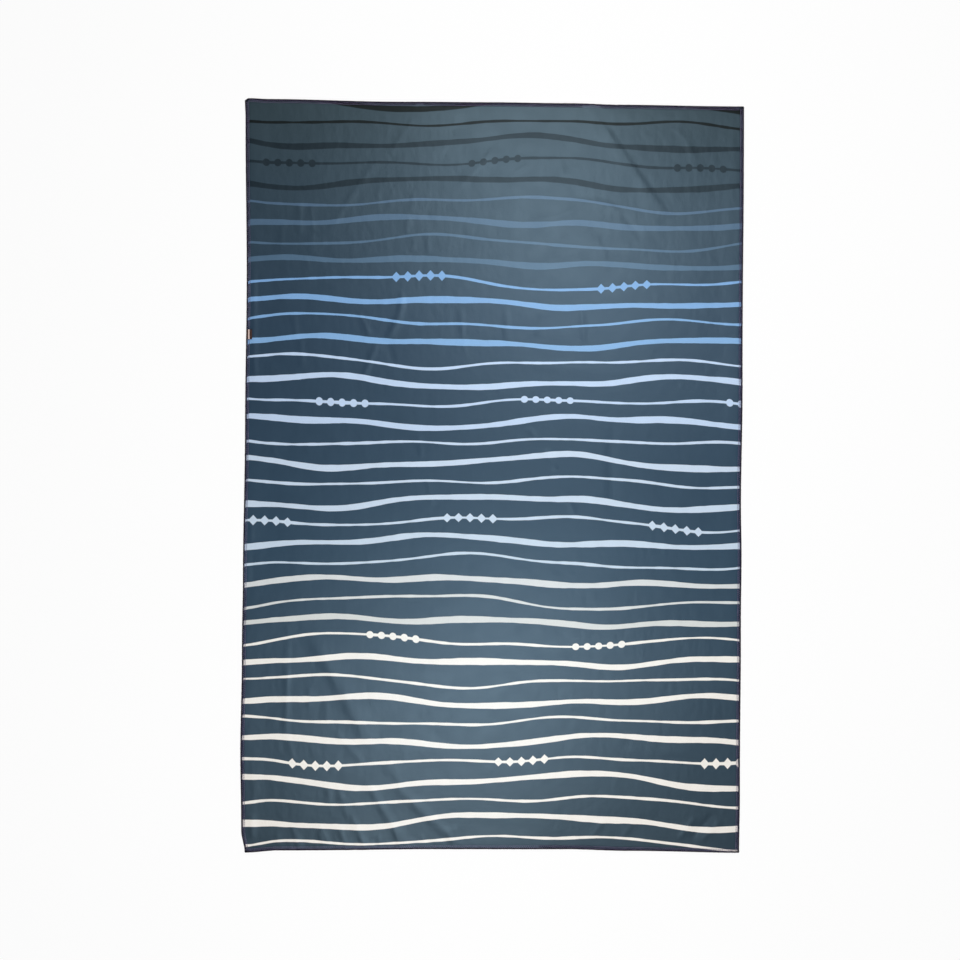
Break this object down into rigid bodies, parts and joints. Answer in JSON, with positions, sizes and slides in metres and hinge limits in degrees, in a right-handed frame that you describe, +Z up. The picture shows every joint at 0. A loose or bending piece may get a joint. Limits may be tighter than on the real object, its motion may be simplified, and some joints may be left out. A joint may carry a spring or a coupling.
{
  "type": "face towel",
  "caption": "Printed microfibre face towel with overlocked edges and a small blank side tab, lying flat and face up on a surface.",
  "frame": {"origin": "on the surface the towel lies on, under the middle of its outline", "axes": "+X across the towel to the right of its face, +Y along it towards the dark end of the print, +Z up out of its face"},
  "size_m": [0.4048, 0.6063, 0.0038],
  "materials": {
    "cloth": "smooth brushed microfibre, printed on the face with graded stripes from charcoal through blue to cream on a slate ground, soft sheen",
    "thread": "textured polyester overlock thread, dark aubergine, slight sheen",
    "tape": "matt woven tape, brown with one blush stripe along it, blank"
  },
  "bodies": {
    "root": {"panel": "cloth", "edging_far": "thread", "edging_near": "thread", "edging_left": "thread", "edging_right": "thread", "side_tab": "tape"}
  },
  "joints": []
}
